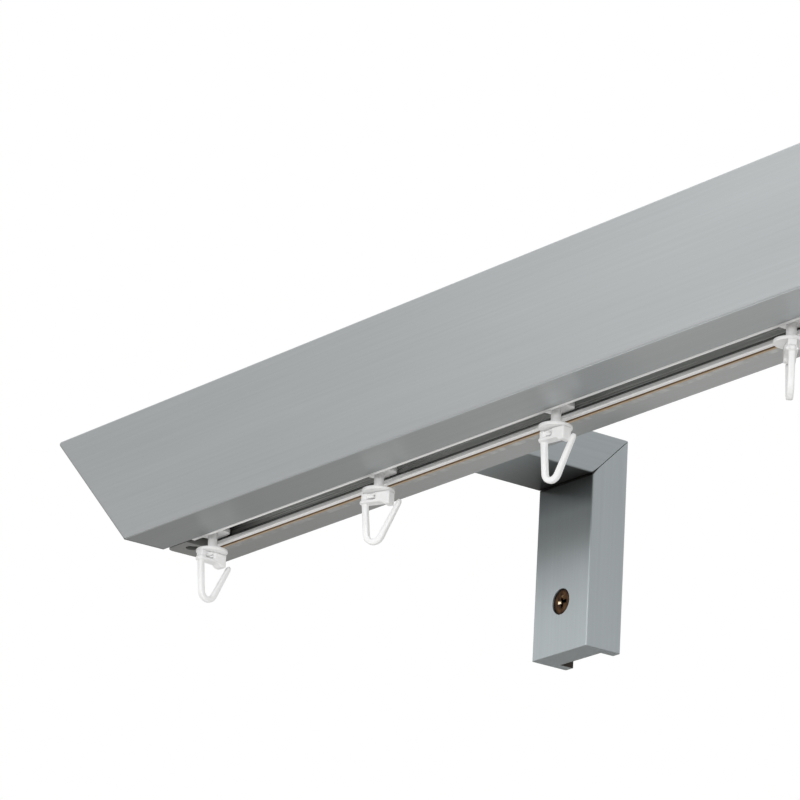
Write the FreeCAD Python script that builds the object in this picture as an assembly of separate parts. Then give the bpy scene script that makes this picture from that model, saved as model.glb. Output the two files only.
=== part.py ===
import FreeCAD, Part
import math
import os
from FreeCAD import Rotation, Vector

# A wall-mounted curtain track: a board with slanted ends hides a grooved rear board, an
# aluminium rail lies in the groove, and gliders with swivelling hooks hang in the rail.
# Two mitred brackets carry the track and clamp onto steel plates on the wall.
# Millimetres. X runs along the track, Y points to the wall (the wall is y = 0) and Z is
# up. The origin is the centre of the pattern of wall screws.

# Front board
overall_length = 1200.0
board_height = 48.5
board_thickness = 18.0
end_run = 50.5
foil_radius = 0.6
tip_radius = 1.0

# Rear board and its groove for the rail
rear_depth = 24.5
rear_height = 18.0
rear_inset = 0.8
groove_width = 13.0

# Aluminium rail
rail_width = 12.0
rail_height = 10.0
rail_wall = 1.0
rail_recess = 0.2
rail_front_gap = 0.2
lip_width = 1.7
lip_height = 2.0
lip_round = 0.4
rail_end_gap = 3.2

# End stops in the groove
stop_length = 13.2
stop_side_gap = 0.2
stop_corner = 3.0
stop_screw_from_end = 8.6
stop_head_depth = 1.2
stop_screw_head = 4.6
stop_screw_head_height = 1.8
stop_head_taper = 0.5
stop_screw_shank = 2.5
stop_screw_length = 13.0
stop_bore_gap = 0.35

# Brackets
reach = 86.0
bracket_inset = 169.3
bar_width = 30.0
bar_thickness = 15.0
leg_drop = 61.5
mitre_gap = 0.25
dowel_diameter = 5.0
dowel_length = 12.0
dowel_spacing = 14.0
leg_groove_width = 22.0
leg_groove_depth = 5.4

# Steel straps on top of the arms
strap_width = 22.0
strap_thickness = 3.0
strap_on_board = 11.5
strap_over_leg = 3.0
strap_side_gap = 0.2
strap_screw_edge = 5.75
strap_screw_head = 8.0
strap_screw_shank = 4.0
strap_screw_length = 14.0

# Steel plates on the wall
rail_above_plate = 36.5
plate_width = 21.0
plate_thickness = 2.5
plate_edge = 5.0
plate_corner = 2.0
wall_hole_spacing = 32.0
wall_hole_diameter = 4.5
wall_sink_diameter = 7.5
plate_headroom = 3.0
boss_diameter = 9.0
boss_draft = 0.6

# Clamp screws through the legs
clamp_drop = 43.0
clamp_head = 9.2
clamp_shank = 5.0
clamp_length = 13.5
clamp_recess = 0.5

# Gliders
glider_count = 11
glider_from_end = 22.0
seen_gaps = (101.8, 99.4, 119.9)
head_length = 12.0
head_width = 9.6
head_thickness = 2.0
head_corner = 3.0
head_lift = 0.3
neck_diameter = 3.4
disc_drop = 3.4
disc_diameter = 11.5
disc_thickness = 1.2
pin_diameter = 1.8
button_diameter = 2.6
button_thickness = 0.8

# Hooks, with the turn of each about its pin, in degrees from the X axis
hook_turns = (97.5, 24.6, 8.2, 144.4, 30.0, 100.0, 12.0, 78.0, 155.0, 20.0, 90.0)
holder_gap = 0.3
holder_left = 6.0
holder_right = 5.5
holder_height = 3.4
holder_thickness = 4.0
post_width = 2.2
post_thickness = 3.0
socket_left = 0.35
web_height = 1.5
web_thickness = 1.8
slit_height = 0.8
collar_half = 1.6
mouth_height = 0.7
pocket_half = 1.45
pocket_height = 1.2
catch_width = 2.0
catch_slope = 1.4
catch_depth = 1.0
nub_radius = 0.9
nub_lift = 0.65
nub_angles = (0, 45, 90, 135, 180)
bar_across = 2.1
bar_deep = 2.2
bar_edge = 0.55
leg_top_offset = 5.0
leg_slant = 5.9
arm_slant = 28.4
bend_radius = 3.1
loop_depth = 15.0
tip_height = 12.0
tip_taper = 0.8
nose_length = 0.9
nose_taper = 0.45

# Cross recess of a screw, as parts of its head's diameter
driver_length = 0.52
driver_width = 0.13
driver_depth = 0.22

# Clearances that the screws, dowels and pins share
thread_gap = 0.05
sink_gap = 0.05
swivel_gap = 0.1
seat_gap = 0.2

# Places that follow from the sizes above
bottom_length = overall_length - 2 * end_run
y_front = -reach
y_joint = y_front + board_thickness
y_groove_back = y_joint + groove_width
y_rear = y_joint + rear_depth
z_under = rail_above_plate
rear_length = bottom_length - 2 * rear_inset
groove_depth = rail_height + rail_recess
y_rail = y_joint + rail_front_gap
y_slot = y_rail + rail_width / 2
z_lip_top = z_under + rail_recess + lip_height
rail_length = rear_length - 2 * (stop_length + rail_end_gap)
x_brackets = (bracket_inset - bottom_length / 2, bottom_length / 2 - bracket_inset)
z_leg_bottom = z_under - leg_drop
z_bar_top = z_under + bar_thickness
z_clamp = z_under - clamp_drop
z_stop_seat = z_under + stop_head_depth + stop_screw_head_height
y_strap_end = -bar_thickness + strap_over_leg


def box(x0, x1, y0, y1, z0, z1):
    """A block between two corners."""
    return Part.makeBox(x1 - x0, y1 - y0, z1 - z0, Vector(x0, y0, z0))


def prism(points, direction):
    """A closed straight-sided outline carried along a direction."""
    corners = [Vector(*p) for p in points]
    return Part.Face(Part.makePolygon(corners + corners[:1])).extrude(Vector(*direction))


def disc(radius, z0, z1):
    """An upright cylinder on the Z axis between two heights."""
    return Part.makeCylinder(radius, z1 - z0, Vector(0, 0, z0))


def edges_along(shape, axis):
    """The straight edges of a shape that run along one axis, 0 for X, 1 for Y, 2 for Z."""
    found = []
    for edge in shape.Edges:
        if not isinstance(edge.Curve, Part.Line):
            continue
        direction = edge.Curve.Direction
        if abs(abs(direction[axis]) - 1) < 1e-6:
            found.append(edge)
    return found


def placed(shape, position, turn=0.0, tilt=None):
    """A copy of a shape, tilted from its own Z axis, then turned about Z, then moved."""
    copy = shape.copy()
    rotation = Rotation(Vector(0, 0, 1), turn)
    if tilt:
        rotation = rotation.multiply(Rotation(Vector(*tilt[0]), tilt[1]))
    place = FreeCAD.Placement(Vector(*position), rotation)
    copy.Placement = place.multiply(copy.Placement)
    return copy


def driver_recess(head, top):
    """The cross that a screwdriver fits, as two tapered slots below the head's top."""
    half_long = head * driver_length / 2
    half_wide = head * driver_width / 2
    floor = top - head * driver_depth
    slot = prism([(-half_long, -half_wide, top), (half_long, -half_wide, top),
                  (half_wide, -half_wide, floor), (-half_wide, -half_wide, floor)],
                 (0, 2 * half_wide, 0))
    return slot.fuse(placed(slot, (0, 0, 0), 90))


def countersunk_screw(head, shank, length):
    """A countersunk screw that points down, with the top of its plain head at zero."""
    sink = (head - shank) / 2
    body = Part.makeCone(shank / 2, head / 2, sink, Vector(0, 0, -sink))
    return body.fuse(disc(shank / 2, -length, -sink))


def countersunk_hole(head, shank, length):
    """The hole that such a screw seats in, with its mouth level with the head's top."""
    sink = (head - shank) / 2
    hole = Part.makeCone(shank / 2 + thread_gap, head / 2 + sink_gap, sink, Vector(0, 0, -sink))
    return hole.fuse(disc(shank / 2 + thread_gap, -length - seat_gap, -sink))


def pan_screw(head, height, shank, length):
    """A screw that points down, with a tapered head whose underside is at zero."""
    body = Part.makeCone(head / 2, head / 2 - stop_head_taper, height)
    body = body.fuse(disc(shank / 2, -length, 0))
    return body.cut(driver_recess(head, height))


def make_front_board():
    """A board whose ends slant out towards its top edge, with foil-wrapped long edges."""
    half_bottom = bottom_length / 2
    half_top = overall_length / 2
    z_top = z_under + board_height
    board = prism([(-half_bottom, y_front, z_under), (half_bottom, y_front, z_under),
                   (half_top, y_front, z_top), (-half_top, y_front, z_top)],
                  (0, board_thickness, 0))
    tips = [e for e in edges_along(board, 1) if e.CenterOfMass.z > z_under + board_height / 2]
    board = board.makeFillet(tip_radius, tips)
    return board.makeFillet(foil_radius, edges_along(board, 0))


def make_strap_tool():
    """The space of one strap in the rear board's top, at the middle of the row frame."""
    half = strap_width / 2 + strap_side_gap
    return box(-half, half, y_rear - strap_on_board - strap_side_gap, y_rear,
               z_under + rear_height - strap_thickness, z_under + rear_height)


def strap_screw_places():
    """The two screws of one strap, the first in the rear board and the last in the arm."""
    z_top = z_under + rear_height
    return [(0, y_rear - strap_on_board + strap_screw_edge, z_top),
            (0, y_strap_end - strap_screw_edge, z_top)]


def make_rear_board():
    """A bar behind the front board, rebated for the rail and let in for the two straps."""
    half = rear_length / 2
    board = box(-half, half, y_joint, y_rear, z_under, z_under + rear_height)
    board = board.cut(box(-half, half, y_joint, y_groove_back, z_under, z_under + groove_depth))
    for end in (-1, 1):
        x_screw = end * (half - stop_screw_from_end)
        bore = disc(stop_screw_shank / 2 + thread_gap, 0, stop_screw_length + seat_gap)
        board = board.cut(placed(bore, (x_screw, y_slot, z_stop_seat)))
    screw = strap_screw_places()[0]
    bore = disc(strap_screw_shank / 2 + thread_gap, -strap_screw_length - seat_gap, 0)
    for x in x_brackets:
        board = board.cut(placed(make_strap_tool().fuse(placed(bore, screw)), (x, 0, 0)))
    return board


def make_channel_rail():
    """A straight extrusion: a box section, open below between two inward lips."""
    back = y_rail + rail_width
    z0 = z_under + rail_recess
    z1 = z0 + rail_height
    x0 = -rail_length / 2
    outline = [(x0, y_rail, z0), (x0, y_rail + lip_width, z0),
               (x0, y_rail + lip_width, z_lip_top), (x0, y_rail + rail_wall, z_lip_top),
               (x0, y_rail + rail_wall, z1 - rail_wall), (x0, back - rail_wall, z1 - rail_wall),
               (x0, back - rail_wall, z_lip_top), (x0, back - lip_width, z_lip_top),
               (x0, back - lip_width, z0), (x0, back, z0), (x0, back, z1), (x0, y_rail, z1)]
    rail = prism(outline, (rail_length, 0, 0))
    rims = [e for e in edges_along(rail, 0)
            if y_rail + rail_wall < e.CenterOfMass.y < back - rail_wall
            and e.CenterOfMass.z < z_under + rear_height / 2]
    return rail.makeFillet(lip_round, rims)


def make_end_stop(end):
    """A block that closes the groove, with a rounded outer corner and a sunk screw hole."""
    x_outer = rear_length / 2
    stop = box(x_outer - stop_length, x_outer, y_joint + stop_side_gap,
               y_groove_back - stop_side_gap, z_under, z_under + groove_depth)
    corner = [e for e in edges_along(stop, 2)
              if e.CenterOfMass.x > x_outer - stop_length / 2 and e.CenterOfMass.y < y_slot]
    stop = stop.makeFillet(stop_corner, corner)
    x_screw = x_outer - stop_screw_from_end
    well = disc(stop_screw_head / 2 + stop_bore_gap, z_under, z_stop_seat)
    bore = disc(stop_screw_shank / 2 + thread_gap, z_stop_seat, z_under + groove_depth)
    stop = stop.cut(placed(well.fuse(bore), (x_screw, y_slot, 0)))
    if end < 0:
        stop = stop.mirror(Vector(0, 0, 0), Vector(1, 0, 0))
    return stop


def make_end_stop_screws():
    """The two pan-head screws that hold the end stops up into the rear board."""
    screw = pan_screw(stop_screw_head, stop_screw_head_height, stop_screw_shank,
                      stop_screw_length)
    x_screw = rear_length / 2 - stop_screw_from_end
    return Part.makeCompound([placed(screw, (end * x_screw, y_slot, z_stop_seat), 0,
                                     ((1, 0, 0), 180)) for end in (-1, 1)])


def mitre_side(y_shift):
    """The half space in front of the mitre plane, as a block moved along Y."""
    size = 4 * bar_thickness
    y_corner = -bar_thickness + y_shift
    corners = [(-bar_width, y_corner - size, z_under - size), (-bar_width, y_corner + size,
               z_under + size), (-bar_width, y_corner - size, z_under + size)]
    return prism(corners, (2 * bar_width, 0, 0))


def dowel_places():
    """The middles of the two dowels in a mitre, on its plane."""
    middle_y = -bar_thickness / 2
    middle_z = z_under + bar_thickness / 2
    return [(side * dowel_spacing / 2, middle_y, middle_z) for side in (-1, 1)]


def make_dowels(extra=0.0):
    """Two dowels square to the mitre plane, or with extra room, the holes for them."""
    length = dowel_length + 2 * extra
    dowel = disc(dowel_diameter / 2 + extra, -length / 2, length / 2)
    return [placed(dowel, place, 0, ((1, 0, 0), 45)) for place in dowel_places()]


def make_arm():
    """The bracket's level bar, from the rear board's back to the mitre at the wall."""
    half = bar_width / 2
    arm = box(-half, half, y_rear, 0, z_under, z_bar_top)
    arm = arm.makeFillet(foil_radius, edges_along(arm, 1))
    arm = arm.common(mitre_side(-mitre_gap / 2 * math.sqrt(2)))
    for dowel in make_dowels(thread_gap):
        arm = arm.cut(dowel)
    bore = disc(strap_screw_shank / 2 + thread_gap, -strap_screw_length - seat_gap, 0)
    return arm.cut(placed(bore, strap_screw_places()[1]))


def make_leg():
    """The bracket's upright bar, grooved at the back to slip over the wall plate."""
    half = bar_width / 2
    leg = box(-half, half, -bar_thickness, 0, z_leg_bottom, z_bar_top)
    leg = leg.makeFillet(foil_radius, edges_along(leg, 2))
    leg = leg.cut(mitre_side(mitre_gap / 2 * math.sqrt(2)))
    z_groove_top = wall_hole_spacing / 2 + plate_edge + plate_headroom
    groove = box(-leg_groove_width / 2, leg_groove_width / 2, -leg_groove_depth, bar_thickness,
                 z_leg_bottom, z_groove_top)
    leg = leg.cut(groove)
    hole = countersunk_hole(clamp_head, clamp_shank, bar_thickness)
    hole = hole.fuse(disc(clamp_head / 2 + sink_gap, 0, clamp_recess))
    place = (0, -bar_thickness + clamp_recess, z_clamp)
    leg = leg.cut(placed(hole, place, 0, ((1, 0, 0), 90)))
    for dowel in make_dowels(thread_gap):
        leg = leg.cut(dowel)
    return leg


def make_clamp_screw():
    """The cross-head screw that pulls the leg onto the boss of the wall plate."""
    screw = countersunk_screw(clamp_head, clamp_shank, clamp_length)
    screw = screw.cut(driver_recess(clamp_head, 0))
    place = (0, -bar_thickness + clamp_recess, z_clamp)
    return placed(screw, place, 0, ((1, 0, 0), 90))


def make_wall_plate():
    """A flat plate with two sunk wall holes and a threaded boss for the clamp screw."""
    half = plate_width / 2
    top = wall_hole_spacing / 2 + plate_edge
    plate = box(-half, half, -plate_thickness, 0, -top, top)
    plate = plate.makeFillet(plate_corner, edges_along(plate, 1))
    boss = Part.makeCone(boss_diameter / 2, boss_diameter / 2 - boss_draft,
                         leg_groove_depth - plate_thickness,
                         Vector(0, -plate_thickness, z_clamp), Vector(0, -1, 0))
    thread = Part.makeCylinder(clamp_shank / 2 + thread_gap, leg_groove_depth,
                               Vector(0, 0, z_clamp), Vector(0, -1, 0))
    plate = plate.fuse(boss).cut(thread)
    sink_depth = (wall_sink_diameter - wall_hole_diameter) / 2
    for side in (-1, 1):
        z_hole = side * wall_hole_spacing / 2
        hole = Part.makeCylinder(wall_hole_diameter / 2, plate_thickness, Vector(0, 0, z_hole),
                                 Vector(0, -1, 0))
        sink = Part.makeCone(wall_hole_diameter / 2, wall_sink_diameter / 2, sink_depth,
                             Vector(0, sink_depth - plate_thickness, z_hole), Vector(0, -1, 0))
        plate = plate.cut(hole.fuse(sink))
    return plate


def make_strap():
    """A flat steel strap that ties the arm's top to the rear board."""
    half = strap_width / 2
    z_top = z_under + rear_height
    strap = box(-half, half, y_rear - strap_on_board, y_strap_end,
                z_top - strap_thickness, z_top)
    strap = strap.makeFillet(plate_corner, edges_along(strap, 2))
    hole = countersunk_hole(strap_screw_head, strap_screw_shank, strap_screw_length)
    for place in strap_screw_places():
        strap = strap.cut(placed(hole, place))
    return strap


def make_strap_screws():
    """The two countersunk screws of one strap."""
    screw = countersunk_screw(strap_screw_head, strap_screw_shank, strap_screw_length)
    return Part.makeCompound([placed(screw, place) for place in strap_screw_places()])


def glider_places():
    """The X of each glider: the first ones as seen, the others evenly up to the last."""
    last = bottom_length / 2 - glider_from_end
    places = [-last]
    for gap in seen_gaps:
        places.append(places[-1] + gap)
    start = places[-1]
    rest = glider_count - len(places)
    return places + [start + (last - start) * (number + 1) / rest for number in range(rest)]


def make_glider():
    """One moulding on the Z axis: head, neck, round disc, pin and snap button."""
    z_head = z_lip_top + head_lift
    half_x = head_length / 2
    half_y = head_width / 2
    head = box(-half_x, half_x, -half_y, half_y, z_head, z_head + head_thickness)
    head = head.makeFillet(head_corner, edges_along(head, 2))
    z_disc = z_under - disc_drop
    z_pin = z_disc - disc_thickness
    z_button = z_pin - holder_gap - mouth_height - seat_gap
    glider = head.fuse(disc(neck_diameter / 2, z_disc, z_head))
    glider = glider.fuse(disc(disc_diameter / 2, z_pin, z_disc))
    glider = glider.fuse(disc(pin_diameter / 2, z_button, z_pin))
    button = disc(button_diameter / 2, z_button - button_thickness, z_button)
    return glider.fuse(button).removeSplitter()


def bar_section():
    """Half sizes of the loop's section, a bar with flattened corners, as (across, deep)."""
    a = bar_across / 2
    d = bar_deep / 2
    return [(a, d - bar_edge), (a - bar_edge, d), (bar_edge - a, d), (-a, d - bar_edge),
            (-a, bar_edge - d), (bar_edge - a, -d), (a - bar_edge, -d), (a, bar_edge - d)]


def bar_outline(point, angle, scale=1.0):
    """The loop's section at a point of its path, square to a heading in the XZ plane."""
    across = Vector(math.cos(angle), 0, math.sin(angle)) * scale
    corners = [point + across * a + Vector(0, d * scale, 0) for a, d in bar_section()]
    return Part.makePolygon(corners + corners[:1])


def make_hook():
    """One moulding: a holder that snaps over the glider's button, and an open loop below it.

    The holder is a sill and a socket block, with a thinner post at the sill's other end. A
    thin web joins their tops round a collar, and leaves a slit open above the sill.
    """
    z_top = z_under - disc_drop - disc_thickness - holder_gap
    z_bottom = z_top - holder_height
    z_sill = z_top - web_height - slit_height
    z_mouth = z_top - mouth_height
    x_post = post_width - holder_left
    half = holder_thickness / 2
    outline = [(-socket_left, -half, z_top), (holder_right, -half, z_top),
               (holder_right, -half, z_bottom - catch_depth),
               (holder_right - catch_width, -half, z_bottom - catch_depth),
               (holder_right - catch_width - catch_slope, -half, z_bottom),
               (-holder_left, -half, z_bottom), (-holder_left, -half, z_sill),
               (-socket_left, -half, z_sill)]
    post = box(-holder_left, x_post, -post_thickness / 2, post_thickness / 2, z_sill, z_top)
    web = box(x_post, -socket_left, -web_thickness / 2, web_thickness / 2,
              z_top - web_height, z_top)
    collar = box(-collar_half, -socket_left, -collar_half, collar_half, z_mouth, z_top)
    nub = prism([(-holder_left - nub_radius * math.sin(angle), -half / 2,
                  z_bottom + nub_lift + nub_radius * math.cos(angle))
                 for angle in map(math.radians, nub_angles)], (0, half, 0))
    holder = prism(outline, (0, holder_thickness, 0)).fuse([post, web, collar, nub])
    bore = disc(pin_diameter / 2 + swivel_gap, z_mouth, z_top)
    pocket = box(-pocket_half, pocket_half, -pocket_half, pocket_half,
                 z_mouth - pocket_height, z_mouth)
    return holder.fuse(make_loop(z_bottom)).cut(bore.fuse(pocket)).removeSplitter()


def make_loop(z_bottom):
    """A bar that runs down the holder's left end, round a bend and up an arm to its nose."""
    down = math.radians(leg_slant)
    up = math.radians(arm_slant)
    z_bend = z_bottom - loop_depth + bar_across / 2 + bend_radius
    x_bend = (-leg_top_offset + math.tan(down) * (z_bottom - z_bend)
              + bend_radius / math.cos(down))
    centre = Vector(x_bend, 0, z_bend)
    left_end = centre + Vector(-math.cos(down), 0, -math.sin(down)) * bend_radius
    right_end = centre + Vector(math.cos(up), 0, -math.sin(up)) * bend_radius
    left_top = Vector(-leg_top_offset, 0, z_bottom)
    tip = right_end + Vector(math.tan(up), 0, 1) * tip_height
    nose = tip + Vector(math.sin(up), 0, math.cos(up)) * nose_length
    section = Part.Face(bar_outline(left_end, down))
    leg = section.extrude(left_top - left_end)
    bend = section.revolve(centre, Vector(0, -1, 0), 180 - leg_slant - arm_slant)
    arm = Part.makeLoft([bar_outline(right_end, -up), bar_outline(tip, -up, tip_taper),
                         bar_outline(nose, -up, nose_taper)], True, True)
    return leg.fuse(bend).fuse(arm)


def build():
    """Every node of the track by its name, at rest."""
    nodes = {"front_board": make_front_board(), "rear_board": make_rear_board(),
             "channel_rail": make_channel_rail(), "left_end_stop": make_end_stop(-1),
             "right_end_stop": make_end_stop(1), "end_stop_screws": make_end_stop_screws()}
    pieces = {"bracket_arm": make_arm(), "bracket_leg": make_leg(),
              "mitre_dowels": Part.makeCompound(make_dowels()), "wall_plate": make_wall_plate(),
              "clamp_screw": make_clamp_screw(), "fixing_strap": make_strap(),
              "strap_screws": make_strap_screws()}
    for side, x in zip(("left", "right"), x_brackets):
        for name, piece in pieces.items():
            nodes[side + "_" + name] = placed(piece, (x, 0, 0))
    glider = make_glider()
    hook = make_hook()
    for number, x in enumerate(glider_places()):
        nodes["glider_%02d" % (number + 1)] = placed(glider, (x, y_slot, 0))
        turn = hook_turns[number % len(hook_turns)]
        nodes["hook_%02d" % (number + 1)] = placed(hook, (x, y_slot, 0), turn)
    return nodes


os.makedirs("parts", exist_ok=True)
for node, shape in build().items():
    shape.exportStep("parts/" + node + ".step")
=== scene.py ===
import math
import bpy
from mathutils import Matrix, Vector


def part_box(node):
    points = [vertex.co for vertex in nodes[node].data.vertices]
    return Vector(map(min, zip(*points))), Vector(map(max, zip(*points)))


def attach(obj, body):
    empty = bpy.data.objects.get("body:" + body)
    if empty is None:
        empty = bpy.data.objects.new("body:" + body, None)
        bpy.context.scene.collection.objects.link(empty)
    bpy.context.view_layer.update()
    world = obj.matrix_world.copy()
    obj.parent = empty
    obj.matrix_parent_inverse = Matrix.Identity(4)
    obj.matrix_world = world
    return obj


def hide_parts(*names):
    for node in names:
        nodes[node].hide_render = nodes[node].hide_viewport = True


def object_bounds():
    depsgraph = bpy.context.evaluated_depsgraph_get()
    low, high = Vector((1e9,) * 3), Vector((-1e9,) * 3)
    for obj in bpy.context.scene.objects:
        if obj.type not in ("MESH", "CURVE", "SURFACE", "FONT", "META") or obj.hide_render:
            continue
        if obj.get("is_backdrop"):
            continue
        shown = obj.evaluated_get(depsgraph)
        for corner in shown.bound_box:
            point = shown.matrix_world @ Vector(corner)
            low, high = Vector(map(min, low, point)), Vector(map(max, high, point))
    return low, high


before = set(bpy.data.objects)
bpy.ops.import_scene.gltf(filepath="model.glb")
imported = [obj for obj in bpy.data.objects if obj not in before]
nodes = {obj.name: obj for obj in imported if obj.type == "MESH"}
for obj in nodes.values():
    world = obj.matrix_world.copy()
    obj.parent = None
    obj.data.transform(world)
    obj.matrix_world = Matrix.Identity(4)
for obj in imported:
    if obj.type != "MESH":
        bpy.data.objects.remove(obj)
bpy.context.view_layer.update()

from types import SimpleNamespace

import bpy
import numpy as np
from mathutils import Euler, Vector


# Camera and studio
# The track hangs above the eye, so the camera looks up at it from the front right. Soft
# lamps, an even fill light and a pale floor light it on a plain white ground. The side and
# low lamps stand where the foil mirrors them towards the camera.

photo_pixels = 800
sensor_width = 36.0
focal_pixels = 5234.3
camera_place = (0.9856, -1.0637, -0.5146)
camera_turn = (108.58, -2.94, 53.45)
lamps = {"key_lamp": ((0.7, -1.5, 0.95), (0, 0, 0), (1.8, 1.8), 11.0),
         "side_lamp": ((-1.5, -1.5, 1.0), (0, 0, 0), (1.0, 1.0), 3.5),
         "low_lamp": ((-0.7, 0.15, -0.6), (-0.7, 0.15, 0), (1.0, 0.35), 1.75)}
fill_from = (0.73, -0.675, -0.05)
fill_angle = 22.0
fill_strength = 2.2
sky_strength = 0.6
white = (1, 1, 1, 1)
floor_height = -0.75
floor_half = 6.0
floor_colour = (0.72, 0.712, 0.69, 1)
floor_roughness = 0.9


def feed(tree, socket, value):
    """Links a socket to another one, or gives it a plain number, vector or colour."""
    if isinstance(value, bpy.types.NodeSocket):
        tree.links.new(value, socket)
    else:
        socket.default_value = value


def add_node(tree, kind, inputs, **settings):
    """The outputs of a new shader node with its settings and its inputs, linked or plain."""
    made = tree.nodes.new("ShaderNode" + kind)
    for setting, value in settings.items():
        setattr(made, setting, value)
    for socket, value in inputs.items():
        feed(tree, made.inputs[socket], value)
    return made.outputs


def combined(tree, operation, *values):
    """The result of a sum, a product or the like of sockets or plain numbers."""
    return add_node(tree, "Math", dict(enumerate(values)), operation=operation)[0]


def seen_directly(tree):
    """A mask that is 1 on camera, mirror and glass rays, as the largest of the three."""
    path = add_node(tree, "LightPath", {})
    seen = combined(tree, "MAXIMUM", path["Is Camera Ray"], path["Is Glossy Ray"])
    return combined(tree, "MAXIMUM", seen, path["Is Transmission Ray"])


def put_in_scene(name, data):
    """A new object in the scene for a camera, a light or a mesh."""
    made = bpy.data.objects.new(name, data)
    bpy.context.scene.collection.objects.link(made)
    return made


def make_camera():
    """The camera at the photograph's place, turn and focal length."""
    data = bpy.data.cameras.new("camera")
    data.sensor_width = sensor_width
    data.lens = focal_pixels / photo_pixels * sensor_width
    camera = put_in_scene("camera", data)
    camera.location = camera_place
    camera.rotation_euler = Euler([math.radians(angle) for angle in camera_turn])
    bpy.context.scene.camera = camera


def make_lamp(name, place, aim, size, power):
    """A flat soft lamp of a given width and height that faces a point."""
    data = bpy.data.lights.new(name, "AREA")
    data.shape = "RECTANGLE"
    data.size, data.size_y = size
    data.energy = power
    lamp = put_in_scene(name, data)
    lamp.location = place
    lamp.rotation_euler = (Vector(place) - Vector(aim)).to_track_quat("Z", "Y").to_euler()


def make_fill():
    """An even light from one direction, as from a wide disc that no metal mirrors."""
    data = bpy.data.lights.new("fill_light", "SUN")
    data.energy = fill_strength
    data.angle = math.radians(fill_angle)
    lamp = put_in_scene("fill_light", data)
    lamp.rotation_euler = Vector(fill_from).to_track_quat("Z", "Y").to_euler()
    lamp.visible_glossy = False


def make_sky():
    """A soft grey sky for the light, which reads as plain white where it is seen."""
    world = bpy.data.worlds.new("sky")
    world.use_nodes = True
    tree = world.node_tree
    tree.nodes.clear()
    glow = add_node(tree, "Background", {"Strength": sky_strength})[0]
    plain = add_node(tree, "Background", {"Color": white})[0]
    mix = add_node(tree, "MixShader", {0: seen_directly(tree), 1: glow, 2: plain})[0]
    add_node(tree, "OutputWorld", {"Surface": mix})
    bpy.context.scene.world = world


def new_material(name, **sockets):
    """A material with plain values on its shader's inputs, with _ for a space in a name."""
    material = bpy.data.materials.new(name)
    material.use_nodes = True
    shader = material.node_tree.nodes["Principled BSDF"].inputs
    for socket, value in sockets.items():
        shader[socket.replace("_", " ")].default_value = value
    return material, material.node_tree, shader


def make_floor():
    """A pale square floor well below the track, open to views from underneath."""
    half = floor_half
    mesh = bpy.data.meshes.new("floor")
    mesh.from_pydata([(-half, -half, floor_height), (half, -half, floor_height),
                      (half, half, floor_height), (-half, half, floor_height)],
                     [], [(0, 1, 2, 3)])
    floor = put_in_scene("floor", mesh)
    material, tree = new_material("pale_floor", Base_Color=floor_colour,
                                  Roughness=floor_roughness)[:2]
    pale = tree.nodes["Principled BSDF"].outputs[0]
    clear = add_node(tree, "BsdfTransparent", {})[0]
    below = add_node(tree, "NewGeometry", {})["Backfacing"]
    mix = add_node(tree, "MixShader", {0: below, 1: pale, 2: clear})[0]
    feed(tree, tree.nodes["Material Output"].inputs["Surface"], mix)
    mesh.materials.append(material)
    floor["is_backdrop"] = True


make_camera()
for name, (place, aim, size, power) in lamps.items():
    make_lamp(name, place, aim, size, power)
make_fill()
make_sky()
make_floor()
bpy.context.scene.view_settings.view_transform = "Standard"


# Boards of the track
# The front board, and the rear board glued behind it, are fibreboard wrapped in silver foil
# with fine lines along it. The groove is milled through the rear one's foil, so it is raw
# brown inside, with a pale speckled line and a lighter band along its rear edge.

mm = 0.001
foil_colour = (0.388, 0.405, 0.412, 1)
foil_tone = 0.05
foil_metallic = 0.94
foil_roughness = 0.38
gloss_spread = 0.9
quarter_turn = 0.25
line_bump = 0.06
line_depth = 0.2 * mm
line_stretch = (14, 1300, 1300)
line_detail = 3
blotch_stretch = (6, 45, 45)
blotch_detail = 2
blotch_share = 0.45
tone_range = (0.3, 0.7)
edge_range = (0.1, 0.35)
# Painted highlight: the foil's rounded edges are lightened by this factor.
edge_highlight_tone = 1.45
fold_tone = 0.68
end_slope = 50.5 / 48.5
end_reach = 511.5 * mm
fold_width = 1.3 * mm
groove_colour = (0.30, 0.18, 0.09, 1)
raw_roughness = 0.78
cut_dark = (1.0, 0.83, 0.58, 1)
cut_light = (1.0, 0.96, 0.84, 1)
band_colour = (0.80, 0.79, 0.77, 1)
strip_colour = (0.485, 0.482, 0.462, 1)
groove_top = 46.8 * mm
underside = 36.55 * mm
cut_back = -53.75 * mm
band_back = -51.4 * mm
mask_blend = 0.15 * mm
cut_wander = 0.5 * mm
speckle_scale = 280
speckle_detail = 2
speckle_range = (0.4, 0.65)


def object_place(tree):
    """The place on the piece as a vector, and its three parts by name."""
    place = add_node(tree, "TexCoord", {})["Object"]
    return place, add_node(tree, "SeparateXYZ", {0: place})


def soft_noise(tree, place, scale, detail):
    """Soft noise from 0 to 1 over a place, at a given scale and with finer layers in it."""
    return add_node(tree, "TexNoise", {"Vector": place, "Scale": scale, "Detail": detail})["Fac"]


def mask_between(tree, value, low, high):
    """A mask that rises from 0 at one value to 1 at another, clamped outside them."""
    return add_node(tree, "MapRange", {"Value": value, "From Min": low, "From Max": high})[0]


def spread(tree, mask, low, high):
    """A number that goes from one value to another with a mask."""
    return add_node(tree, "MapRange", {"Value": mask, "To Min": low, "To Max": high})[0]


def mix_colours(tree, mask, first, second):
    """The first colour where a mask is 0 and the second where it is 1, plain or linked."""
    mix = tree.nodes.new("ShaderNodeMix")
    mix.data_type = "RGBA"
    feed(tree, mix.inputs["Factor"], mask)
    pair = [socket for socket in mix.inputs if socket.type == "RGBA"]
    for socket, colour in zip(pair, (first, second)):
        feed(tree, socket, colour)
    return [socket for socket in mix.outputs if socket.type == "RGBA"][0]


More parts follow.
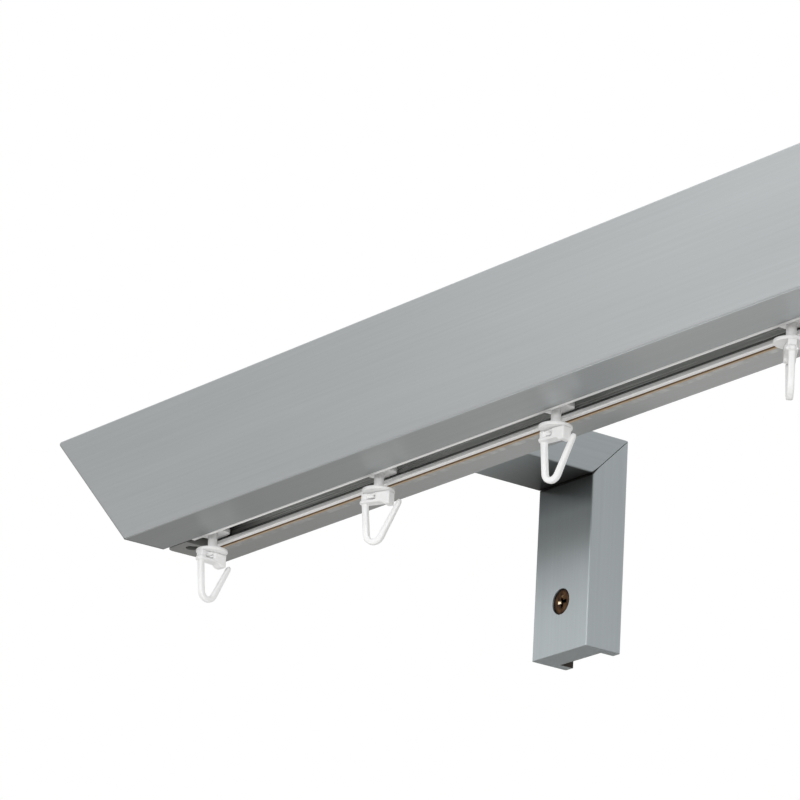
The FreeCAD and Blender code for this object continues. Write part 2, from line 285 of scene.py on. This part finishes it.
def shade_between(tree, factor, dark, light):
    """A colour between a dark and a light one, by a factor that is stretched about a half."""
    return mix_colours(tree, mask_between(tree, factor, *tone_range), dark, light)


def new_group(name, inputs, outputs):
    """An empty node group with named sockets, and its two ends."""
    group = bpy.data.node_groups.new(name, "ShaderNodeTree")
    for way, sockets in (("INPUT", inputs), ("OUTPUT", outputs)):
        for label, kind in sockets.items():
            group.interface.new_socket(label, in_out=way, socket_type="NodeSocket" + kind)
    entry = group.nodes.new("NodeGroupInput").outputs
    leave = group.nodes.new("NodeGroupOutput").inputs
    return group, entry, leave


def make_grain():
    """Fine lines along the incoming X and soft blotches, as the blend of two noises."""
    group, entry, leave = new_group("grain", {"Vector": "Vector"},
                                    {"Tone": "Float", "Lines": "Float"})
    parts = []
    for stretch, detail in ((line_stretch, line_detail), (blotch_stretch, blotch_detail)):
        stretched = add_node(group, "VectorMath", {0: entry["Vector"], 1: stretch},
                             operation="MULTIPLY")[0]
        parts.append(soft_noise(group, stretched, 1, detail))
    blend = add_node(group, "Mix", {"Factor": blotch_share, "A": parts[0], "B": parts[1]})
    feed(group, leave["Tone"], blend["Result"])
    feed(group, leave["Lines"], parts[0])
    return group


def make_edge_highlight():
    """A mask for painted highlights on the rounded edges that run along an axis, where
    the normal leans both ways.

    It is the product of the normal's parts, with the one along the axis replaced by one.
    """
    group, entry, leave = new_group("edge_highlight", {"Along": "Vector"}, {"Mask": "Float"})
    normal = add_node(group, "NewGeometry", {})["Normal"]
    across = add_node(group, "VectorMath", {0: (1, 1, 1), 1: entry["Along"]},
                      operation="SUBTRACT")[0]
    kept = add_node(group, "VectorMath", {0: normal, 1: across, 2: entry["Along"]},
                    operation="MULTIPLY_ADD")[0]
    parts = add_node(group, "SeparateXYZ", {0: kept})
    product = combined(group, "MULTIPLY", parts["X"],
                       combined(group, "MULTIPLY", parts["Y"], parts["Z"]))
    feed(group, leave["Mask"],
         mask_between(group, combined(group, "ABSOLUTE", product), *edge_range))
    return group


grain = make_grain()
edge_highlight = make_edge_highlight()


def scaled(colour, amount):
    """A colour times a number, with its alpha kept at one."""
    return (colour[0] * amount, colour[1] * amount, colour[2] * amount, 1)


def foil_shade(tree, lines, tint):
    """The colour of foil of a given tint, a little darker and lighter with its lines."""
    return shade_between(tree, lines["Tone"], scaled(tint, 1 - foil_tone),
                         scaled(tint, 1 + foil_tone))


def make_foil(name, turn, along, tint=foil_colour, highlight_tone=edge_highlight_tone):
    """Satin silver foil with painted highlights on its edges, and lines along the axis
    turned onto X.
    """
    material, tree, shader = new_material(name, Roughness=foil_roughness,
                                          Metallic=foil_metallic, Anisotropic=gloss_spread,
                                          Anisotropic_Rotation=quarter_turn)
    feed(tree, shader["Tangent"], add_node(tree, "CombineXYZ", dict(enumerate(along)))[0])
    turned = add_node(tree, "Mapping", {"Vector": object_place(tree)[0],
                                        "Rotation": [math.radians(angle) for angle in turn]})
    lines = add_node(tree, "Group", {"Vector": turned[0]}, node_tree=grain)
    highlight = add_node(tree, "Group", {"Along": along}, node_tree=edge_highlight)["Mask"]
    # Painted highlight on the rounded edges.
    colour = mix_colours(tree, highlight, foil_shade(tree, lines, tint), scaled(tint, highlight_tone))
    bump = add_node(tree, "Bump", {"Strength": line_bump, "Distance": line_depth,
                                   "Height": lines["Lines"]})
    feed(tree, shader["Base Color"], colour)
    feed(tree, shader["Normal"], bump[0])
    return SimpleNamespace(material=material, tree=tree, shader=shader, colour=colour,
                           lines=lines)


def make_folded_foil():
    """The boards' foil, dark at the slanted ends, where |x| is a slope times z plus a reach."""
    foil = make_foil("foil_folded", (0, 0, 0), (1, 0, 0))
    tree = foil.tree
    parts = object_place(tree)[1]
    reach = combined(tree, "MULTIPLY_ADD", parts["Z"], -end_slope,
                     combined(tree, "ABSOLUTE", parts["X"]))
    fold = mask_between(tree, reach, end_reach - fold_width, end_reach - fold_width / 2)
    feed(tree, foil.shader["Base Color"],
         mix_colours(tree, fold, foil.colour, scaled(foil_colour, fold_tone)))
    return foil.material


def make_grooved_foil():
    """The boards' foil, cut away to raw board in the groove and lighter along its rear edge."""
    foil = make_foil("foil_grooved", (0, 0, 0), (1, 0, 0))
    tree = foil.tree
    place, parts = object_place(tree)
    wander = combined(tree, "MULTIPLY_ADD", foil.lines["Lines"], cut_wander, parts["Y"])
    below = mask_between(tree, parts["Z"], underside, underside - mask_blend)
    shallow = mask_between(tree, parts["Z"], groove_top, groove_top - mask_blend)
    speckle = soft_noise(tree, place, speckle_scale, speckle_detail)
    speckled = mask_between(tree, speckle, *speckle_range)
    cut = combined(tree, "MULTIPLY", shallow,
                   mask_between(tree, wander, cut_back, cut_back - mask_blend))
    band = combined(tree, "MULTIPLY", below,
                    mask_between(tree, wander, band_back, band_back - mask_blend))
    band = combined(tree, "MULTIPLY", band, speckled)
    raw = mix_colours(tree, below, groove_colour,
                      mix_colours(tree, speckled, cut_dark, cut_light))
    strip = mix_colours(tree, below, foil.colour, foil_shade(tree, foil.lines, strip_colour))
    colour = mix_colours(tree, cut, mix_colours(tree, band, strip, band_colour), raw)
    milled = combined(tree, "MULTIPLY", cut, combined(tree, "SUBTRACT", 1, below))
    feed(tree, foil.shader["Base Color"], colour)
    feed(tree, foil.shader["Metallic"], spread(tree, milled, foil_metallic, 0))
    feed(tree, foil.shader["Roughness"], spread(tree, milled, foil_roughness, raw_roughness))
    return foil.material


def dress(node, material):
    """Gives a node of the frame one material on its own mesh."""
    mesh = nodes[node].data
    mesh.materials.clear()
    mesh.materials.append(material)


dress("front_board", make_folded_foil())
dress("rear_board", make_grooved_foil())


# Rail in the groove
# An aluminium extrusion, pressed into the groove and cut a little shorter than it. Drawing
# leaves faint lines along it. Its lips keep the bright metal colour, and its inside is
# painted darker as shade, with a painted shadow line above the lips and painted shade
# darkest towards its ends.

shade_start = 38.0 * mm
shadow_line_top = 39.2 * mm
line_blend = 0.2 * mm
dark_end = 0.53
open_part = 0.505
lip_colours = ((0.95, 0.96, 0.96, 1), (1, 1, 1, 1))
# Painted shade inside, a painted shadow line above the lips, painted shade at the ends:
shaded_colours = ((0.46, 0.47, 0.46, 1), (0.70, 0.71, 0.70, 1))
shadow_line_colour = (0.16, 0.165, 0.16, 1)
end_shade_colour = (0.02, 0.02, 0.02, 1)
rail_metallic = (0.15, 0.5)
rail_roughness = (0.22, 0.32)


def make_aluminium():
    """Bright aluminium with lines along X in its roughness, painted darker as shade above
    its lips and darkest towards its ends.
    """
    material, tree, shader = new_material("drawn_aluminium")
    place, parts = object_place(tree)
    lines = add_node(tree, "Group", {"Vector": place}, node_tree=grain)
    # Painted shade above the lips, with a painted shadow line, darkest towards the ends.
    inside = mask_between(tree, parts["Z"], shade_start, shade_start + line_blend)
    above = mask_between(tree, parts["Z"], shadow_line_top, shadow_line_top + line_blend)
    middle = mask_between(tree, combined(tree, "ABSOLUTE", parts["X"]), dark_end, open_part)
    shaded = mix_colours(tree, above, shadow_line_colour,
                       shade_between(tree, lines["Tone"], *shaded_colours))
    shaded = mix_colours(tree, middle, end_shade_colour, shaded)
    colour = mix_colours(tree, inside, shade_between(tree, lines["Tone"], *lip_colours), shaded)
    feed(tree, shader["Base Color"], colour)
    feed(tree, shader["Metallic"], spread(tree, inside, *rail_metallic))
    feed(tree, shader["Roughness"], spread(tree, lines["Lines"], *rail_roughness))
    return material


dress("channel_rail", make_aluminium())


# End stops and their screws
# Two blocks moulded in grey plastic close the groove at the ends, each held up into the
# rear board by one zinc-plated screw that sits deep in its well.

plastic_scale = 900
plastic_detail = 2
plastic_spread = 0.08
stop_colour = (0.185, 0.19, 0.182, 1)
stop_roughness = 0.5
stop_speckle = 0.06
zinc_scale = 380
zinc_detail = 3
zinc_dark = (0.50, 0.51, 0.53, 1)
zinc_light = (0.68, 0.69, 0.70, 1)
zinc_roughness = (0.28, 0.46)


def make_mottle():
    """Soft noise that goes from a dark to a light colour and from one roughness to another."""
    group, entry, leave = new_group(
        "mottle", {"Vector": "Vector", "Scale": "Float", "Detail": "Float", "Dark": "Color",
                   "Light": "Color", "Smooth": "Float", "Rough": "Float"},
        {"Color": "Color", "Roughness": "Float"})
    noise = soft_noise(group, entry["Vector"], entry["Scale"], entry["Detail"])
    feed(group, leave["Color"], shade_between(group, noise, entry["Dark"], entry["Light"]))
    feed(group, leave["Roughness"], spread(group, noise, entry["Smooth"], entry["Rough"]))
    return group


mottle = make_mottle()


def make_mottled(name, scale, detail, colours, roughnesses, **sockets):
    """A material whose tone and roughness vary in small soft clouds between two values."""
    material, tree, shader = new_material(name, **sockets)
    clouds = add_node(tree, "Group", {"Vector": object_place(tree)[0], "Scale": scale,
                                      "Detail": detail, "Dark": colours[0],
                                      "Light": colours[1], "Smooth": roughnesses[0],
                                      "Rough": roughnesses[1]}, node_tree=mottle)
    feed(tree, shader["Base Color"], clouds["Color"])
    feed(tree, shader["Roughness"], clouds["Roughness"])
    return material


def make_plastic(name, colour, roughness, speckle, **sockets):
    """Moulded plastic with a fine, even speckle in its tone and roughness."""
    colours = (scaled(colour, 1 - speckle), scaled(colour, 1 + speckle))
    roughnesses = (roughness - plastic_spread, roughness + plastic_spread)
    return make_mottled(name, plastic_scale, plastic_detail, colours, roughnesses, **sockets)


grey_plastic = make_plastic("grey_plastic", stop_colour, stop_roughness, stop_speckle)
zinc = make_mottled("zinc_plate", zinc_scale, zinc_detail, (zinc_dark, zinc_light),
                    zinc_roughness, Metallic=1.0)
dress("left_end_stop", grey_plastic)
dress("right_end_stop", grey_plastic)
dress("end_stop_screws", zinc)


# Brackets
# Each is an arm and a leg of foil-wrapped bar with lengthwise lines, mitred and glued with
# two beech dowels. Painted shade darkens both bars towards the inner corner, and their joint
# has a dark line that fades away from it. The leg's foot is darker, and the groove up its
# back is raw board, painted near black as shade.

bracket_colour = (0.360, 0.392, 0.402, 1)
# The brackets' painted edge highlight:
bracket_highlight_tone = 1.1
# Painted shade towards the brackets' inner corner:
corner_shade_colour = (0.066, 0.064, 0.062, 1)
arm_shade_reach = 34 * mm
leg_shade_reach = 12 * mm
leg_start = 0.24
corner_y = -15.0 * mm
corner_z = 36.5 * mm
joint_reach = 0.9 * mm
joint_fade = 0.11
leg_x = 380.2 * mm
groove_half = 11.1 * mm
groove_front = -5.5 * mm
foot_cut = -24.8 * mm
foot_tone = 0.76
edge_blend = 0.1 * mm
# Raw board in the leg's back groove, painted near black as shade.
shaded_raw_groove = (0.04, 0.035, 0.03, 1)
beech_colour = (0.62, 0.45, 0.28, 1)
beech_roughness = 0.6
beech_speckle = 0.1


def off_leg(tree, parts):
    """How far a place is in X from the middle of the nearer leg, as |x| less the leg's."""
    return combined(tree, "SUBTRACT", combined(tree, "ABSOLUTE", parts["X"]), leg_x)


def make_corner_shade():
    """A mask of foil out of the painted shade, which rises from the inner corner, and is 1
    on the side faces.

    With u and v as the places off the corner in Y and Z, the rise is linear in |u + v|, and
    the joint's dark line is where |u - v| plus a small part of |u + v| is small.
    """
    group, entry, leave = new_group(
        "corner_shade", {"Vector": "Vector", "Reach": "Float", "Start": "Float"}, {"Unshaded": "Float"})
    normal = add_node(group, "NewGeometry", {})["True Normal"]
    facing = combined(group, "ABSOLUTE", add_node(group, "SeparateXYZ", {0: normal})["X"])
    parts = add_node(group, "SeparateXYZ", {0: entry["Vector"]})
    u = combined(group, "SUBTRACT", parts["Y"], corner_y)
    v = combined(group, "SUBTRACT", parts["Z"], corner_z)
    total = combined(group, "ABSOLUTE", combined(group, "ADD", u, v))
    apart = combined(group, "ABSOLUTE", combined(group, "SUBTRACT", u, v))
    rise = spread(group, mask_between(group, total, 0, entry["Reach"]), entry["Start"], 1)
    joint = mask_between(group, combined(group, "MULTIPLY_ADD", total, joint_fade, apart),
                         joint_reach / 2, joint_reach)
    unshaded = combined(group, "MULTIPLY", combined(group, "MAXIMUM", rise, facing), joint)
    feed(group, leave["Unshaded"], unshaded)
    return group


corner_shade = make_corner_shade()


def make_bracket_foil(name, turn, along, reach, start):
    """Silver foil with painted shade of a given reach from the inner corner."""
    foil = make_foil(name, turn, along, bracket_colour, bracket_highlight_tone)
    tree = foil.tree
    unshaded = add_node(tree, "Group", {"Vector": object_place(tree)[0], "Reach": reach,
                                     "Start": start}, node_tree=corner_shade)["Unshaded"]
    # Painted shade darkens the foil towards the inner corner.
    foil.colour = mix_colours(tree, unshaded, corner_shade_colour, foil.colour)
    feed(tree, foil.shader["Base Color"], foil.colour)
    return foil


def make_leg_foil():
    """The brackets' foil, darker on the foot's cut end, and raw board painted near black as
    shade in the groove at the back.
    """
    foil = make_bracket_foil("foil_upright", (0, 90, 0), (0, 0, 1), leg_shade_reach, leg_start)
    tree = foil.tree
    parts = object_place(tree)[1]
    within = mask_between(tree, combined(tree, "ABSOLUTE", off_leg(tree, parts)),
                          groove_half + edge_blend, groove_half)
    behind = mask_between(tree, parts["Y"], groove_front - edge_blend, groove_front)
    foot = mask_between(tree, parts["Z"], foot_cut, foot_cut - edge_blend)
    colour = mix_colours(tree, foot, foil.colour, scaled(bracket_colour, foot_tone))
    feed(tree, foil.shader["Base Color"],
         mix_colours(tree, combined(tree, "MULTIPLY", within, behind), colour, shaded_raw_groove))
    return foil.material


foil_out = make_bracket_foil("foil_outward", (0, 0, 90), (0, 1, 0), arm_shade_reach, 0).material
foil_up = make_leg_foil()
beech = make_plastic("beech", beech_colour, beech_roughness, beech_speckle)
for side in ("left", "right"):
    dress(side + "_bracket_arm", foil_out)
    dress(side + "_bracket_leg", foil_up)
    dress(side + "_mitre_dowels", beech)


# Steel of the brackets
# A zinc-plated plate on the wall, a strap on top of the arm with its screws, and the
# clamp screw through the leg. That one is passivated brown, painted darker as shade,
# with a darker rim. Its cross recess has painted glints at the arms' ends and painted
# shade in the middle.

screw_z = -6.5 * mm
head_face = -14.45 * mm
face_blend = 0.15 * mm
# Painted shade inside the first radius of the recess, painted glints beyond the second:
shade_radius = 1.5 * mm
glint_radius = 1.75 * mm
rim_start = 3.3 * mm
rim_end = 4.4 * mm
brown_scale = 500
brown_detail = 2
brown_roughness = 0.26
# The head's brown, painted dark as shade:
brown_dark = (0.016, 0.006, 0.003, 1)
brown_light = (0.085, 0.042, 0.014, 1)
rim_colour = (0.012, 0.004, 0.001, 1)
recess_shade = (0.006, 0.005, 0.004, 1)
recess_glint = (0.80, 0.66, 0.48, 1)


def make_passivated():
    """Brown plate painted dark as shade, in small soft clouds, with a darker rim, and the
    recess toned by its distance r: painted shade in the middle, painted glints at the ends.

    Here r is the distance from the screw's axis, the root of (|x| - x0) squared plus
    (z - z0) squared, and the recess is what lies behind the face of the head.
    """
    material, tree, shader = new_material("brown_passivate", Metallic=1.0,
                                          Roughness=brown_roughness)
    place, parts = object_place(tree)
    tone = add_node(tree, "Group", {"Vector": place, "Scale": brown_scale,
                                    "Detail": brown_detail, "Dark": brown_dark,
                                    "Light": brown_light}, node_tree=mottle)["Color"]
    aside = off_leg(tree, parts)
    above = combined(tree, "SUBTRACT", parts["Z"], screw_z)
    squares = combined(tree, "MULTIPLY_ADD", aside, aside,
                       combined(tree, "MULTIPLY", above, above))
    radius = combined(tree, "SQRT", squares)
    rim = mask_between(tree, radius, rim_start, rim_end)
    ends = mask_between(tree, radius, shade_radius, glint_radius)
    recess = mask_between(tree, parts["Y"], head_face, head_face + face_blend)
    head = mix_colours(tree, rim, tone, rim_colour)
    inner = mix_colours(tree, ends, recess_shade, recess_glint)
    feed(tree, shader["Base Color"], mix_colours(tree, recess, head, inner))
    return material


brown = make_passivated()
for side in ("left", "right"):
    dress(side + "_wall_plate", zinc)
    dress(side + "_fixing_strap", zinc)
    dress(side + "_strap_screws", zinc)
    dress(side + "_clamp_screw", brown)


# Gliders
# Each is one moulding of milky white plastic: a flat head that slides on the rail's lips, a
# neck through the slot, a round disc, and a pin with a button that the hook snaps over.

round_steps = 64
arc_steps = 6
sharp_angle = math.radians(50)
head_half = (6.0 * mm, 4.8 * mm)
head_thickness = 2.0 * mm
head_corner = 3.0 * mm
neck_radius = 1.7 * mm
neck_fillet = 0.6 * mm
disc_radius = 5.75 * mm
disc_thickness = 1.2 * mm
disc_above_hook = 0.3 * mm
pin_radius = 0.9 * mm
button_radius = 1.3 * mm
button_thickness = 0.8 * mm
mould_edge = 0.35 * mm
milky_colour = (0.93, 0.935, 0.935, 1)
milky_roughness = 0.35
milky_speckle = 0.015
milky_depth = 1.5 * mm
milky_radius = (1.0, 1.0, 1.0)
milky_share = 0.35


def ring_angles():
    """Even angles once round, off the axes, so that a ring's corners stay symmetric."""
    return (np.arange(round_steps) + 0.5) * 2 * np.pi / round_steps


def closed_shell(rings):
    """Points, walls and caps of a skin through a stack of rings, with a point at each end."""
    rows, columns = rings.shape[:2]
    index = np.arange(rows * columns).reshape(rows, columns)
    beside = np.roll(index, -1, axis=1)
    walls = np.stack([index[:-1], beside[:-1], beside[1:], index[1:]], axis=-1).reshape(-1, 4)
    low = np.full(columns, rows * columns)
    bottom = np.stack([low, beside[0], index[0]], axis=-1)
    top = np.stack([low + 1, index[-1], beside[-1]], axis=-1)
    ends = rings[[0, -1]].mean(axis=1)
    points = np.concatenate([rings.reshape(-1, 3), ends])
    return points, walls, np.concatenate([bottom, top])


def quarter(radius, height, edge, start):
    """Part of a profile: a quarter circle of a given edge radius about (radius, height)."""
    angle = np.radians(np.linspace(start, start + 90, arc_steps))
    return np.stack([radius + edge * np.cos(angle), height + edge * np.sin(angle)], axis=-1)


def make_mesh(name, shells, material):
    """A mesh of closed shells with one material, smooth but for its sharp edges."""
    points = []
    faces = []
    count = 0
    for corners, walls, caps in shells:
        points.append(corners)
        faces += (walls + count).tolist() + (caps + count).tolist()
        count += len(corners)
    mesh = bpy.data.meshes.new(name)
    mesh.from_pydata(np.concatenate(points).tolist(), [], faces)
    mesh.polygons.foreach_set("use_smooth", np.ones(len(mesh.polygons), dtype=bool))
    mesh.set_sharp_from_angle(angle=sharp_angle)
    mesh.materials.append(material)
    return mesh


def make_glider(name, x, y, z_low, z_high, z_pin, material):
    """The profile (radius, height) from button to head, turned about the pin's axis.

    A point is at (radius cos a + stretch sign(cos a), radius sin a + stretch sign(sin a)),
    where the stretch is zero below the head and draws its circle out to a rounded oblong.
    """
    z_disc = z_pin + disc_thickness
    z_head = z_high - head_thickness
    edge = mould_edge
    turned = np.concatenate([
        [(button_radius, z_low), (button_radius, z_low + button_thickness)],
        [(pin_radius, z_low + button_thickness), (pin_radius, z_pin)],
        quarter(disc_radius - edge, z_pin + edge, edge, -90),
        quarter(disc_radius - edge, z_disc - edge, edge, 0),
        quarter(neck_radius + neck_fillet, z_disc + neck_fillet, neck_fillet, 180)[::-1],
        quarter(neck_radius + neck_fillet, z_head - neck_fillet, neck_fillet, 90)[::-1]])
    head = np.concatenate([
        quarter(head_corner - edge, z_head + edge, edge, -90),
        quarter(head_corner - edge, z_high - edge, edge, 0)])
    profile = np.concatenate([turned, head])
    stretch = np.repeat([0.0, 1.0], [len(turned), len(head)])[:, None]
    angle = ring_angles()
    straight = stretch * (np.array(head_half) - head_corner)
    across = profile[:, :1] * np.cos(angle) + straight[:, :1] * np.sign(np.cos(angle))
    along = profile[:, :1] * np.sin(angle) + straight[:, 1:] * np.sign(np.sin(angle))
    height = np.broadcast_to(profile[:, 1:], across.shape)
    rings = np.stack([x + across, y + along, height], axis=-1)
    return make_mesh(name, [closed_shell(rings)], material)


def add_piece(name, mesh, node):
    """A new piece that stands for a node and moves with the body of that name."""
    piece = put_in_scene(name, mesh)
    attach(piece, node)
    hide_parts(node)


milky = make_plastic("milky_plastic", milky_colour, milky_roughness, milky_speckle,
                     Subsurface_Weight=milky_share, Subsurface_Radius=milky_radius,
                     Subsurface_Scale=milky_depth)
numbers = [name[-2:] for name in nodes if name.startswith("glider_")]
pin_places = {}
for number in numbers:
    low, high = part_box("glider_" + number)
    x = (low[0] + high[0]) / 2
    y = (low[1] + high[1]) / 2
    hook_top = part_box("hook_" + number)[1][2]
    mesh = make_glider("moulded_glider_" + number, x, y, low[2], high[2],
                       hook_top + disc_above_hook, milky)
    add_piece("moulded_glider_" + number, mesh, "glider_" + number)
    pin_places[number] = (x, y, 0.0)


# Hooks
# Each is one moulding of the same plastic. Its holder is a sill with a post at one end and
# a socket block at the other, which snaps over the glider's button and turns on it. The
# bar below it is bent into an open loop.

skin_size = 0.18 * mm
soften_rounds = 3
soften_share = 0.5
holder_left = 6.0 * mm
holder_right = 5.5 * mm
holder_height = 3.4 * mm
holder_half = 2.0 * mm
holder_edge = 0.3 * mm
post_width = 2.2 * mm
post_half = 1.5 * mm
socket_left = 0.35 * mm
socket_corner = 0.8 * mm
web_height = 1.5 * mm
web_half = 0.9 * mm
slit_height = 0.8 * mm
collar_half = 1.6 * mm
mouth_height = 0.7 * mm
bore_radius = 1.0 * mm
pocket_radius = 1.45 * mm
pocket_height = 1.2 * mm
top_rise = 0.2 * mm
trim_radius = 12.0 * mm
overlap = 1.0 * mm
catch_width = 2.0 * mm
catch_slope = 1.4 * mm
catch_depth = 1.0 * mm
nub_radius = 0.9 * mm
nub_half = 1.0 * mm
nub_edge = 0.4 * mm
nub_lift = 0.65 * mm
bar_half = (1.05 * mm, 1.1 * mm)
bar_edge = 0.6 * mm
leg_offset = 5.0 * mm
leg_slant = math.radians(5.9)
arm_slant = math.radians(28.4)
bend_radius = 3.1 * mm
tip_height = 12.0 * mm
tip_taper = 0.8
tip_margin = 0.1 * mm
nose_length = 0.9 * mm
nose_taper = 0.45


def rounded_block(low, high, corner, edge):
    """A block with rounded corners in plan and rounded rims, as rings from low to high.

    A ring is the sign of each direction times the straight half length, plus the direction
    times a radius that shrinks by a quarter circle at the rims.
    """
    middle = (np.array(low) + high) / 2
    half = (np.array(high) - low) / 2
    rise = np.radians(np.linspace(-90, 90, 2 * arc_steps))[:, None]
    angle = ring_angles()
    radius = corner - edge + edge * np.cos(rise)
    x = np.sign(np.cos(angle)) * (half[0] - corner) + radius * np.cos(angle)
    y = np.sign(np.sin(angle)) * (half[1] - corner) + radius * np.sin(angle)
    z = np.sign(rise) * (half[2] - edge) + edge * np.sin(rise)
    return middle + np.stack([x, y, np.broadcast_to(z, x.shape)], axis=-1)


def socket_cutter(z_top):
    """A turned profile: the button's pocket, the pin's bore, and a trim above the holder."""
    z_mouth = z_top - mouth_height
    z_trim = z_top + top_rise
    profile = np.array([(pocket_radius, z_mouth - pocket_height), (pocket_radius, z_mouth),
                        (bore_radius, z_mouth), (bore_radius, z_trim), (trim_radius, z_trim),
                        (trim_radius, z_trim + 2 * overlap)])
    angle = np.arange(round_steps) * 2 * np.pi / round_steps
    across = profile[:, :1] * np.cos(angle)
    height = np.broadcast_to(profile[:, 1:], across.shape)
    return closed_shell(np.stack([across, profile[:, :1] * np.sin(angle), height], axis=-1))


def bent_bar(z_top, z_bend, x_bend):
    """A rounded section carried down a leg, round an arc and up a tapered arm to its nose."""
    turn = np.linspace(np.pi + leg_slant, 2 * np.pi - arm_slant, 4 * arc_steps)
    outward = np.stack([np.cos(turn), np.zeros(len(turn)), np.sin(turn)], axis=-1)
    bend = np.array((x_bend, 0, z_bend)) + bend_radius * outward
    leg = bend[:1] + (z_top - bend[0, 2]) * np.array([[-math.tan(leg_slant), 0, 1]])
    arm = bend[-1:] + tip_height * np.array([[math.tan(arm_slant), 0, 1]])
    nose = arm + nose_length * np.array([[math.sin(arm_slant), 0, math.cos(arm_slant)]])
    path = np.concatenate([leg, bend, arm, nose])
    across = -np.concatenate([outward[:1], outward, outward[[-1, -1]]])
    angle = ring_angles()
    side = np.sign(np.cos(angle)) * (bar_half[0] - bar_edge) + bar_edge * np.cos(angle)
    deep = np.sign(np.sin(angle)) * (bar_half[1] - bar_edge) + bar_edge * np.sin(angle)
    scale = np.ones((len(path), 1, 1))
    scale[-2:, 0, 0] = tip_taper, nose_taper
    rings = path[:, None] + scale * side[:, None] * across[:, None]
    rings[..., 1] += scale[..., 0] * deep
    return closed_shell(rings)


def fused(name, shells, cutter, material):
    """One mesh: a fine voxel skin round overlapping shells, softened, less the cutter."""
    body = put_in_scene(name, make_mesh(name, shells, material))
    tool = put_in_scene("cutter", make_mesh("cutter", [cutter], material))
    skin = body.modifiers.new("skin", "REMESH")
    skin.mode = "VOXEL"
    skin.voxel_size = skin_size
    skin.use_smooth_shade = True
    soft = body.modifiers.new("soft", "SMOOTH")
    soft.factor = soften_share
    soft.iterations = soften_rounds
    cut = body.modifiers.new("cut", "BOOLEAN")
    cut.operation = "DIFFERENCE"
    cut.object = tool
    graph = bpy.context.evaluated_depsgraph_get()
    mesh = bpy.data.meshes.new_from_object(body.evaluated_get(graph))
    bpy.data.objects.remove(body)
    bpy.data.objects.remove(tool)
    mesh.materials.clear()
    mesh.materials.append(material)
    mesh.set_sharp_from_angle(angle=sharp_angle)
    return mesh


def make_catch(z_bottom):
    """A block under the socket, drawn out to the left in step with its height."""
    z_catch = z_bottom - catch_depth
    catch = rounded_block((holder_right - catch_width, -holder_half, z_catch),
                          (holder_right, holder_half, z_bottom + overlap),
                          holder_edge, holder_edge)
    drawn = 1 + (catch[..., 2] - z_catch) / catch_depth * catch_slope / catch_width
    catch[..., 0] = holder_right - (holder_right - catch[..., 0]) * drawn
    return closed_shell(catch)


def make_nub(z_bottom):
    """A short round bar across the post's foot, as a block turned onto its side."""
    z_nub = z_bottom + nub_lift
    nub = rounded_block((-holder_left - nub_radius, z_nub - nub_radius, -nub_half),
                        (-holder_left + nub_radius, z_nub + nub_radius, nub_half),
                        nub_radius, nub_edge)
    return closed_shell(nub[..., [0, 2, 1]])


def make_hook(z_top, z_low, material):
    """The sill, post, web, collar and socket block of the holder, its catch, and the bar."""
    z_bottom = z_top - holder_height
    z_over = z_top + overlap
    half = holder_half
    blocks = [((-holder_left, -half, z_bottom),
               (holder_right, half, z_top - web_height - slit_height), holder_edge),
              ((-holder_left, -post_half, z_bottom + holder_edge),
               (post_width - holder_left, post_half, z_over), holder_edge),
              ((-holder_left + holder_edge, -web_half, z_top - web_height),
               (collar_half, web_half, z_over), holder_edge / 2),
              ((-collar_half, -collar_half, z_top - mouth_height),
               (collar_half, collar_half, z_over), holder_edge / 2),
              ((-socket_left, -half, z_bottom), (holder_right - holder_edge, half, z_over),
               socket_corner),
              ((holder_right - 2 * socket_corner, -half, z_bottom), (holder_right, half, z_over),
               holder_edge)]
    shells = [closed_shell(rounded_block(low, high, corner, min(corner, holder_edge)))
              for low, high, corner in blocks]
    z_bend = z_low + bar_half[0] + bend_radius
    x_bend = (bend_radius / math.cos(leg_slant) - leg_offset
              + math.tan(leg_slant) * (z_bottom - z_bend))
    shells += [make_catch(z_bottom), bent_bar(z_bottom + overlap, z_bend, x_bend),
               make_nub(z_bottom)]
    return fused("moulded_hook", shells, socket_cutter(z_top), material)


def mesh_points(mesh):
    """A mesh's points as rows of x, y and z."""
    flat = np.empty(len(mesh.vertices) * 3)
    mesh.vertices.foreach_get("co", flat)
    return flat.reshape(-1, 3)


def resting_spin(number):
    """The matrix of a hook's turn about its pin, the angle of its farthest points' middle."""
    corners = mesh_points(nodes["hook_" + number].data) - pin_places[number]
    reach = np.hypot(corners[:, 0], corners[:, 1])
    tip = corners[reach > reach.max() - tip_margin].mean(axis=0)
    turn = math.atan2(tip[1], tip[0])
    return np.array([[math.cos(turn), math.sin(turn), 0],
                     [-math.sin(turn), math.cos(turn), 0],
                     [0, 0, 1]])


hook_low, hook_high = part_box("hook_01")
base_hook = make_hook(hook_high[2], hook_low[2], milky)
base_points = mesh_points(base_hook)
for number in numbers:
    points = base_points @ resting_spin(number) + pin_places[number]
    mesh = base_hook.copy()
    mesh.name = "moulded_hook_" + number
    mesh.vertices.foreach_set("co", points.ravel())
    mesh.update()
    add_piece("moulded_hook_" + number, mesh, "hook_" + number)


low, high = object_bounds()
